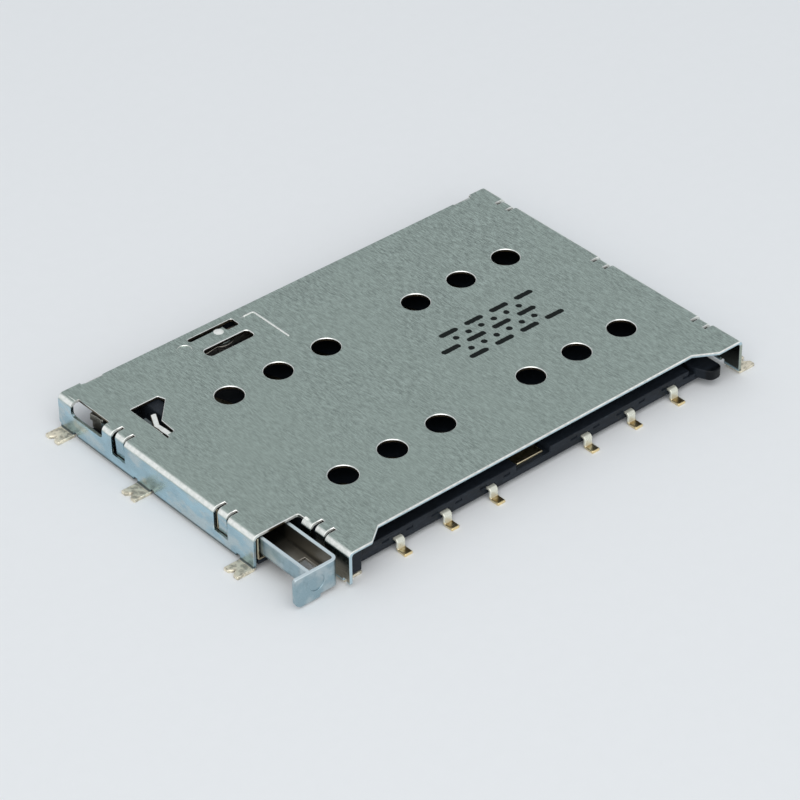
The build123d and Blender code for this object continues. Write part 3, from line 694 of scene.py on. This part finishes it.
def lever_steel(colours):
    """Dull sheet of the lever, coloured darker as painted shade under the plate, with a faint grain along
    X and rubbed spots.
    """
    finish = Finish("lever_steel")
    lines = finish.grain(LEVER_LINES, 3.0, 0.6)
    rub = finish.rise(finish.noise(1.7, 4.0, 0.6), 0.45, 0.7)
    # Painted shade: the lever's colour is darker and browner for its place under the plate
    steel = Vector(colours.lever)
    body = finish.blend(finish.rise(lines, 0.3, 0.7), rgba(steel * 0.82), rgba(steel * 1.15))
    body = finish.blend(rub * 0.35, body, rgba(steel * 1.5))
    finish.feed(Base_Color=body, Metallic=1.0, Roughness=0.34 + lines * 0.14)
    finish.relief(lines, LINES_DEPTH, 0.5)
    return finish.material


def nickel_brass(colours):
    """Thin brass sheet under nickel: dull, warm, with draw lines along Y."""
    finish = Finish("nickel_brass")
    lines = finish.grain(BRASS_LINES, 3.0, 0.6)
    stain = finish.rise(finish.noise(1.6, 4.0, 0.6), 0.45, 0.7)
    brass = Vector(colours.guide)
    stained = rgba((brass.x * 0.8, brass.y * 0.74, brass.z * 0.6))
    body = finish.blend(finish.rise(lines, 0.3, 0.7), rgba(brass * 0.86), rgba(brass * 1.1))
    body = finish.blend(stain * 0.3, body, stained)
    finish.feed(Base_Color=body, Metallic=1.0, Roughness=0.3 + lines * 0.14)
    finish.relief(lines, LINES_DEPTH, 0.5)
    return finish.material


def contact_alloy(colours):
    """Gold flash over nickel on the contact strips, with painted highlights on the bends and the tail
    ends, browner on the solder tails, and painted shade under the plate."""
    finish = Finish("contact_alloy")
    z, reach = finish.z, finish.y.size()
    lines = finish.grain(CONTACT_LINES, 3.0, 0.6)
    cloud = finish.noise(3.0, 3.0, 0.5)
    gold = Vector(colours.contact)
    brown = rgba((gold.x * 0.6, gold.y * 0.45, gold.z * 0.26))
    tip = rgba((gold.x * 1.2, gold.y * 1.12, gold.z * 0.95))
    # Painted highlight: the tails' bends are pale and less metallic
    bend_highlight = finish.rise(z, *TAIL_BEND_HEIGHT) * finish.rise(reach, *TAIL_BEND)
    flat = finish.rise(z, *TAIL_FLAT_HEIGHT) * finish.rise(finish.facing[2], *FACING_TAIL)
    # Painted shade on the contacts under the plate
    covered_shade = finish.rise(reach, *CONTACT_COVERED) * finish.rise(z, *CONTACT_HEIGHT)
    body = finish.blend(finish.rise(lines, 0.3, 0.7), rgba(gold * 0.9), rgba(gold * 1.1))
    body = finish.blend(bend_highlight * 0.9, body, rgba(colours.nickel))
    body = finish.blend(flat * finish.rise(cloud, 0.3, 0.6) * 0.85, body, brown)
    # Painted highlight: the tail ends are paler
    body = finish.blend(finish.rise(reach, *TAIL_END), body, tip)
    # Painted shade on the contacts under the plate
    body = finish.blend(covered_shade * 0.9, body, rgba(gold * 0.12))
    roughness = 0.2 + lines * 0.1 + cloud * 0.08
    finish.feed(Base_Color=body, Metallic=1.0 - bend_highlight * 0.5, Roughness=roughness)
    finish.relief(lines, CONTACT_DEPTH, 0.4)
    return finish.material


def dark_resin(colours):
    """Glass-filled moulding: nearly black, faintly blue, with short fibres and a fine mould texture."""
    finish = Finish("dark_resin")
    fibres = finish.grain(RESIN_FIBRES, 3.0, 0.6)
    pits = finish.speckle(RESIN_PITS)
    flow = finish.grain(RESIN_FLOW, 3.0, 0.5)
    arm = finish.rise(finish.x, *ARM_LEFT) * finish.rise(finish.y, *ARM_REAR)
    resin = Vector(colours.resin)
    body = finish.blend(finish.rise(fibres, 0.45, 0.72), rgba(resin), rgba(resin * 1.9))
    body = finish.blend(finish.rise(flow, 0.4, 0.7) * 0.5, body, rgba(resin * 0.65))
    body = finish.blend(arm * 0.9, body, rgba(resin * 0.2))
    roughness = 0.36 + flow * 0.14 + fibres * 0.1 - arm * 0.12
    finish.feed(Base_Color=body, Metallic=0.0, Roughness=roughness, Specular_IOR_Level=RESIN_SHINE)
    finish.relief(pits * 0.6 + fibres * 0.4, RESIN_DEPTH, 0.6)
    return finish.material


def floor_paper(colours):
    """Pale paper: matt, with a faint fibre."""
    finish = Finish("floor_paper")
    fibre = finish.noise(1.4, 4.0, 0.6)
    pale = Vector(colours.floor)
    body = finish.blend(fibre, rgba(pale * 0.985), rgba(pale * 1.01))
    finish.feed(Base_Color=body, Roughness=0.85, Metallic=0.0)
    return finish.material


FINISHES = {
    "stamped_steel": stamped_steel,
    "rod_steel": rod_steel,
    "lever_steel": lever_steel,
    "nickel_brass": nickel_brass,
    "contact_alloy": contact_alloy,
    "dark_resin": dark_resin,
    "floor_paper": floor_paper,
}


def finish_of(name):
    """A finish by its name, made once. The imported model's plain materials have the same names."""
    for material in bpy.data.materials:
        if material.get("socket_finish") == name:
            return material
    made = FINISHES[name](bpy.context.scene.socket_colours)
    made["socket_finish"] = name
    return made


# Properties


def colour_property(name, description, default):
    return bpy.props.FloatVectorProperty(
        name=name, description=description, default=default, subtype="COLOR", min=0.0, max=1.0
    )


def length_property(name, description, default):
    return bpy.props.FloatProperty(
        name=name, description=description, default=default, unit="LENGTH", precision=6, min=0.0
    )


def place_property(name, description, default):
    return bpy.props.FloatProperty(
        name=name, description=description, default=default, unit="LENGTH", precision=6
    )


class SocketColours(bpy.types.PropertyGroup):
    """Colours of the finishes."""

    steel: colour_property("Steel", "The plate's rolled face", (0.385, 0.455, 0.42))
    wall: colour_property("Walls", "The polished side walls", (0.4, 0.565, 0.64))
    silver: colour_property("Silver", "Clouds on the side walls", (0.56, 0.62, 0.62))
    wall_end: colour_property("Wall end", "Cut front end of the right wall", (0.36, 0.4, 0.34))
    # Painted highlight colour of folds, cut rims, edges, bead, dome and finger
    highlight_white: colour_property("Bright edges", "Folds and cut edges", (0.9, 0.91, 0.88))
    flash: colour_property("Foot flash", "Warm flash on the feet", (0.76, 0.7, 0.56))
    # Painted shade colour of the cut walls below their rims
    sheared: colour_property("Sheared edges", "Lower part of the cut edges", (0.17, 0.14, 0.1))
    marking: colour_property("Marking", "Black dashes and dots", (0.019, 0.024, 0.023))
    # Painted shade colour of inner faces, also of the rod under the plate, and darker at the foot of the
    # walls
    inside: colour_property("Inside", "Dull inner faces", (0.06, 0.068, 0.06))
    # Painted highlight colour of the contacts' bends
    nickel: colour_property("Nickel", "Pale bends of the contacts", (0.8, 0.82, 0.73))
    rod: colour_property("Rod", "Push rod", (0.34, 0.46, 0.51))
    rod_cloud: colour_property("Rod clouds", "Pale clouds on the rod", (0.55, 0.62, 0.64))
    # Painted shade colour inside the rod
    rod_inside: colour_property("Rod inside", "Dull inside of the rod", (0.3, 0.27, 0.225))
    # Painted highlight colour of the rod's top edges
    rod_top_highlight: colour_property("Rod rim", "Top edges of the rod", (0.72, 0.82, 0.86))
    # Painted shade: darker and browner than the rod, for the lever's place under the plate
    lever: colour_property("Lever", "Ejector lever", (0.4, 0.38, 0.335))
    guide: colour_property("Rod guide", "Thin brass-coloured channel", (0.6, 0.53, 0.38))
    contact: colour_property("Contacts", "Gold flash on the contacts", (0.8, 0.7, 0.47))
    resin: colour_property("Resin", "Moulded housing", (0.012, 0.016, 0.022))
    floor: colour_property("Floor", "Studio floor", (0.82, 0.84, 0.86))
    sky: colour_property("Sky", "Light from all round", (0.93, 0.965, 1.0))
    key: colour_property("Key lamp", "Light of the key lamp", (1.0, 0.985, 0.96))


class SocketSizes(bpy.types.PropertyGroup):
    """Sizes of the fine detail."""

    edge_break: length_property("Edge break", "Chamfer on the stamped edges", 0.03 * MM)
    dome_radius: length_property("Dome radius", "Contact dome", 0.2 * MM)
    dome_height: length_property("Dome height", "Rise of a contact dome", 0.07 * MM)
    mark_x: place_property("Marking X", "Middle of the marking along the long side", 4.35 * MM)
    mark_y: place_property("Marking Y", "Middle of the marking from front to rear", -0.39 * MM)
    mark_pitch_x: length_property("Marking pitch X", "From dash to dash along X", 1.4 * MM)
    mark_pitch_y: length_property("Marking pitch Y", "From row to row", 0.95 * MM)
    mark_length: length_property("Dash length", "Over its round ends", 0.98 * MM)
    mark_width: length_property("Dash width", "Across it", 0.27 * MM)
    mark_dot: length_property("Dot", "Diameter of a dot", 0.28 * MM)
    mark_dot_place: length_property("Dot place", "From the middle between two columns", 0.35 * MM)
    mark_shift: length_property("Row shift", "Of each row against the next", 0.7 * MM)


class SocketStudio(bpy.types.PropertyGroup):
    """Strengths and sizes of the studio."""

    floor_reach: length_property("Floor", "From the socket to the floor's edge", 1.2)
    key_size: length_property("Key lamp size", "Side of the square lamp", 0.5)
    key_power: bpy.props.FloatProperty(
        name="Key lamp power", description="Light of the lamp", default=1.0, unit="POWER", min=0.0
    )
    sky_strength: bpy.props.FloatProperty(
        name="Sky strength", description="Light from all round", default=0.62, subtype="FACTOR", min=0.0
    )


# Studio


def add_floor(scene):
    """A square floor at the height of the board."""
    reach = scene.socket_studio.floor_reach
    corners = [(-reach, -reach, 0), (reach, -reach, 0), (reach, reach, 0), (-reach, reach, 0)]
    mesh = bpy.data.meshes.new("floor")
    mesh.from_pydata(corners, [], [(0, 1, 2, 3)])
    mesh.materials.append(finish_of("floor_paper"))
    floor = bpy.data.objects.new("floor", mesh)
    scene.collection.objects.link(floor)


def light_sky(scene):
    """An even pale sky."""
    world = bpy.data.worlds.new("studio")
    world.use_nodes = True
    scene.world = world
    graph = Graph(world.node_tree)
    strength = scene.socket_studio.sky_strength
    sockets = {"Color": rgba(scene.socket_colours.sky), "Strength": strength}
    sky = graph.node("ShaderNodeBackground", None, sockets)
    graph.node("ShaderNodeOutputWorld", None, {"Surface": graph.output(sky)})


def add_key_lamp(scene):
    """A square soft lamp aimed at the socket's middle."""
    lamp = bpy.data.lights.new("key", "AREA")
    lamp.size = scene.socket_studio.key_size
    lamp.energy = scene.socket_studio.key_power
    lamp.color = scene.socket_colours.key
    holder = bpy.data.objects.new("key", lamp)
    place = Vector(KEY_PLACE)
    turn = (place - Vector((0, 0, MM))).to_track_quat("Z", "Y")
    holder.matrix_world = Matrix.Translation(place) @ turn.to_matrix().to_4x4()
    scene.collection.objects.link(holder)


def add_camera(scene):
    """The camera, at the photograph's angle."""
    camera = bpy.data.cameras.new("camera")
    camera.sensor_width = CAMERA_SENSOR
    camera.lens = CAMERA_LENS
    camera.clip_start, camera.clip_end = CAMERA_NEAR, CAMERA_FAR
    viewer = bpy.data.objects.new("camera", camera)
    axes = Matrix((CAMERA_RIGHT, CAMERA_UP, CAMERA_BACK)).transposed()
    viewer.matrix_world = Matrix.Translation(Vector(CAMERA_PLACE) * MM) @ axes.to_4x4()
    scene.collection.objects.link(viewer)
    scene.camera = viewer


# Operators


def soften(scene, pieces):
    """Softened copies of a list of pieces."""
    width = scene.socket_sizes.edge_break
    for node, share, slot in pieces:
        softened_copy(node, width * share, slot, finish_of(slot))


class SOCKET_OT_steelwork(bpy.types.Operator):
    """Shell, rod, guide, lever and pin with their edges broken and their finishes"""

    bl_idname = "socket.steelwork"
    bl_label = "Steelwork"

    def execute(self, context):
        soften(context.scene, STEEL_PIECES)
        return {"FINISHED"}


class SOCKET_OT_moulding(bpy.types.Operator):
    """Moulded housing with its texture"""

    bl_idname = "socket.moulding"
    bl_label = "Moulding"

    def execute(self, context):
        soften(context.scene, MOULDED_PIECES)
        return {"FINISHED"}


class SOCKET_OT_springs(bpy.types.Operator):
    """Contacts, tray spring and detect switch with their edges broken and their gold flash"""

    bl_idname = "socket.springs"
    bl_label = "Springs"

    def execute(self, context):
        soften(context.scene, SPRUNG_PIECES)
        return {"FINISHED"}


class SOCKET_OT_contact_domes(bpy.types.Operator):
    """Pressed domes on the contact strips, under the round openings"""

    bl_idname = "socket.contact_domes"
    bl_label = "Contact domes"

    def execute(self, context):
        sizes = context.scene.socket_sizes
        sunk = -DOME_SUNK * MM
        turn = np.linspace(DOME_HOLE, 0.5 * math.pi, DOME_RINGS)
        radius = sizes.dome_radius * np.sin(turn)
        height = sizes.dome_height * np.cos(turn)
        radius = np.append(radius, [sizes.dome_radius, sizes.dome_radius * DOME_HOLE])
        height = np.append(height, [sunk, sunk])
        for node in CONTACTS:
            points = read_all(NODES[node].data.vertices, "co", 3)
            x, z = points[:, 0], points[:, 2]
            crest = points[z > z.max() - CREST_DEPTH * MM].mean(axis=0)
            centre = np.array([(x.min() + x.max()) / 2, crest[1], crest[2]])
            made = turned_profile(radius, height, centre, DOME_SIDES)
            add_piece(f"{node}_dome", *made, "base", "contact_alloy", finish_of("contact_alloy"))
        return {"FINISHED"}


class SOCKET_OT_stage(bpy.types.Operator):
    """Pale floor, soft lamp, sky and camera"""

    bl_idname = "socket.stage"
    bl_label = "Stage"

    def execute(self, context):
        scene = context.scene
        add_floor(scene)
        light_sky(scene)
        add_key_lamp(scene)
        add_camera(scene)
        scene.view_settings.view_transform = "Standard"
        return {"FINISHED"}


class SOCKET_PT_panel(bpy.types.Panel):
    """Lists the socket's steps, sizes, colours and studio"""

    bl_idname = "SOCKET_PT_panel"
    bl_label = "Card Socket"
    bl_space_type = "VIEW_3D"
    bl_region_type = "UI"
    bl_category = "Card Socket"

    def draw(self, context):
        layout = self.layout
        for step in STEPS:
            layout.operator(step.bl_idname)
        scene = context.scene
        for group in (scene.socket_sizes, scene.socket_colours, scene.socket_studio):
            box = layout.box()
            for key in group.__annotations__:
                box.prop(group, key)


STEPS = [
    SOCKET_OT_steelwork,
    SOCKET_OT_moulding,
    SOCKET_OT_springs,
    SOCKET_OT_contact_domes,
    SOCKET_OT_stage,
]
CLASSES = [SocketColours, SocketSizes, SocketStudio, *STEPS, SOCKET_PT_panel]


def register():
    for item in CLASSES:
        bpy.utils.register_class(item)
    bpy.types.Scene.socket_colours = bpy.props.PointerProperty(type=SocketColours)
    bpy.types.Scene.socket_sizes = bpy.props.PointerProperty(type=SocketSizes)
    bpy.types.Scene.socket_studio = bpy.props.PointerProperty(type=SocketStudio)


def unregister():
    del bpy.types.Scene.socket_studio
    del bpy.types.Scene.socket_sizes
    del bpy.types.Scene.socket_colours
    for item in reversed(CLASSES):
        bpy.utils.unregister_class(item)


def main():
    """Runs every step in order."""
    register()
    for step in STEPS:
        group, name = step.bl_idname.split(".")
        getattr(getattr(bpy.ops, group), name)()
    bpy.context.view_layer.update()


if __name__ == "__main__":
    main()
